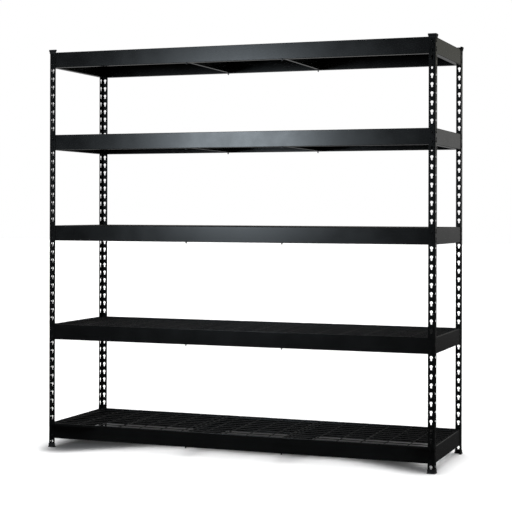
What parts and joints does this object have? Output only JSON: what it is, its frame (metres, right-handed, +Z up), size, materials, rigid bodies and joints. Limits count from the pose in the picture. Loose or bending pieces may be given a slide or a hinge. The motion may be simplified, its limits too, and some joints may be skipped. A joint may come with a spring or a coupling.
{
  "type": "boltless steel shelving",
  "caption": "Free-standing five-level boltless shelving: slotted angle posts, hooked steel beams, tie bars and drop-in wire decks, black.",
  "frame": {"origin": "on the floor under the middle of the unit", "axes": "+X along the long beams to the right, +Y to the back, +Z up the posts"},
  "size_m": [1.8276, 0.5386, 1.8386],
  "materials": {
    "post": "semi-gloss black powder coat",
    "beam": "semi-gloss black powder coat",
    "tie_bar": "semi-gloss black powder coat",
    "wire": "black powder-coated wire",
    "plastic": "moulded black plastic"
  },
  "bodies": {
    "frame": {"post_front_left": "post", "post_front_right": "post", "post_rear_right": "post", "post_rear_left": "post", "foot_front_left": "plastic", "foot_front_right": "plastic", "foot_rear_right": "plastic", "foot_rear_left": "plastic", "cap_front_left": "plastic", "cap_front_right": "plastic", "cap_rear_right": "plastic", "cap_rear_left": "plastic"},
    "level_1": {"level_1_front_beam": "beam", "level_1_right_beam": "beam", "level_1_rear_beam": "beam", "level_1_left_beam": "beam", "level_1_left_tie_bar": "tie_bar", "level_1_right_tie_bar": "tie_bar"},
    "level_1_left_deck_panel": {"level_1_left_deck": "wire"},
    "level_1_middle_deck_panel": {"level_1_middle_deck": "wire"},
    "level_1_right_deck_panel": {"level_1_right_deck": "wire"},
    "level_2": {"level_2_front_beam": "beam", "level_2_right_beam": "beam", "level_2_rear_beam": "beam", "level_2_left_beam": "beam", "level_2_left_tie_bar": "tie_bar", "level_2_right_tie_bar": "tie_bar"},
    "level_2_left_deck_panel": {"level_2_left_deck": "wire"},
    "level_2_middle_deck_panel": {"level_2_middle_deck": "wire"},
    "level_2_right_deck_panel": {"level_2_right_deck": "wire"},
    "level_3": {"level_3_front_beam": "beam", "level_3_right_beam": "beam", "level_3_rear_beam": "beam", "level_3_left_beam": "beam", "level_3_left_tie_bar": "tie_bar", "level_3_right_tie_bar": "tie_bar"},
    "level_3_left_deck_panel": {"level_3_left_deck": "wire"},
    "level_3_middle_deck_panel": {"level_3_middle_deck": "wire"},
    "level_3_right_deck_panel": {"level_3_right_deck": "wire"},
    "level_4": {"level_4_front_beam": "beam", "level_4_right_beam": "beam", "level_4_rear_beam": "beam", "level_4_left_beam": "beam", "level_4_left_tie_bar": "tie_bar", "level_4_right_tie_bar": "tie_bar"},
    "level_4_left_deck_panel": {"level_4_left_deck": "wire"},
    "level_4_middle_deck_panel": {"level_4_middle_deck": "wire"},
    "level_4_right_deck_panel": {"level_4_right_deck": "wire"},
    "level_5": {"level_5_front_beam": "beam", "level_5_right_beam": "beam", "level_5_rear_beam": "beam", "level_5_left_beam": "beam", "level_5_left_tie_bar": "tie_bar", "level_5_right_tie_bar": "tie_bar"},
    "level_5_left_deck_panel": {"level_5_left_deck": "wire"},
    "level_5_middle_deck_panel": {"level_5_middle_deck": "wire"},
    "level_5_right_deck_panel": {"level_5_right_deck": "wire"}
  },
  "joints": [
    {"name": "level_1_unhook", "type": "slide", "parent": "frame", "child": "level_1", "axis": [0, 0, 1], "range_m": [0, 0.0112]},
    {"name": "level_1_left_deck_lift", "type": "slide", "parent": "level_1", "child": "level_1_left_deck_panel", "axis": [0, 0, 1], "range_m": [0, 0.1]},
    {"name": "level_1_middle_deck_lift", "type": "slide", "parent": "level_1", "child": "level_1_middle_deck_panel", "axis": [0, 0, 1], "range_m": [0, 0.1]},
    {"name": "level_1_right_deck_lift", "type": "slide", "parent": "level_1", "child": "level_1_right_deck_panel", "axis": [0, 0, 1], "range_m": [0, 0.1]},
    {"name": "level_2_unhook", "type": "slide", "parent": "frame", "child": "level_2", "axis": [0, 0, 1], "range_m": [0, 0.0112]},
    {"name": "level_2_left_deck_lift", "type": "slide", "parent": "level_2", "child": "level_2_left_deck_panel", "axis": [0, 0, 1], "range_m": [0, 0.1]},
    {"name": "level_2_middle_deck_lift", "type": "slide", "parent": "level_2", "child": "level_2_middle_deck_panel", "axis": [0, 0, 1], "range_m": [0, 0.1]},
    {"name": "level_2_right_deck_lift", "type": "slide", "parent": "level_2", "child": "level_2_right_deck_panel", "axis": [0, 0, 1], "range_m": [0, 0.1]},
    {"name": "level_3_unhook", "type": "slide", "parent": "frame", "child": "level_3", "axis": [0, 0, 1], "range_m": [0, 0.0112]},
    {"name": "level_3_left_deck_lift", "type": "slide", "parent": "level_3", "child": "level_3_left_deck_panel", "axis": [0, 0, 1], "range_m": [0, 0.1]},
    {"name": "level_3_middle_deck_lift", "type": "slide", "parent": "level_3", "child": "level_3_middle_deck_panel", "axis": [0, 0, 1], "range_m": [0, 0.1]},
    {"name": "level_3_right_deck_lift", "type": "slide", "parent": "level_3", "child": "level_3_right_deck_panel", "axis": [0, 0, 1], "range_m": [0, 0.1]},
    {"name": "level_4_unhook", "type": "slide", "parent": "frame", "child": "level_4", "axis": [0, 0, 1], "range_m": [0, 0.0112]},
    {"name": "level_4_left_deck_lift", "type": "slide", "parent": "level_4", "child": "level_4_left_deck_panel", "axis": [0, 0, 1], "range_m": [0, 0.1]},
    {"name": "level_4_middle_deck_lift", "type": "slide", "parent": "level_4", "child": "level_4_middle_deck_panel", "axis": [0, 0, 1], "range_m": [0, 0.1]},
    {"name": "level_4_right_deck_lift", "type": "slide", "parent": "level_4", "child": "level_4_right_deck_panel", "axis": [0, 0, 1], "range_m": [0, 0.1]},
    {"name": "level_5_unhook", "type": "slide", "parent": "frame", "child": "level_5", "axis": [0, 0, 1], "range_m": [0, 0.005]},
    {"name": "level_5_left_deck_lift", "type": "slide", "parent": "level_5", "child": "level_5_left_deck_panel", "axis": [0, 0, 1], "range_m": [0, 0.1]},
    {"name": "level_5_middle_deck_lift", "type": "slide", "parent": "level_5", "child": "level_5_middle_deck_panel", "axis": [0, 0, 1], "range_m": [0, 0.1]},
    {"name": "level_5_right_deck_lift", "type": "slide", "parent": "level_5", "child": "level_5_right_deck_panel", "axis": [0, 0, 1], "range_m": [0, 0.1]}
  ]
}
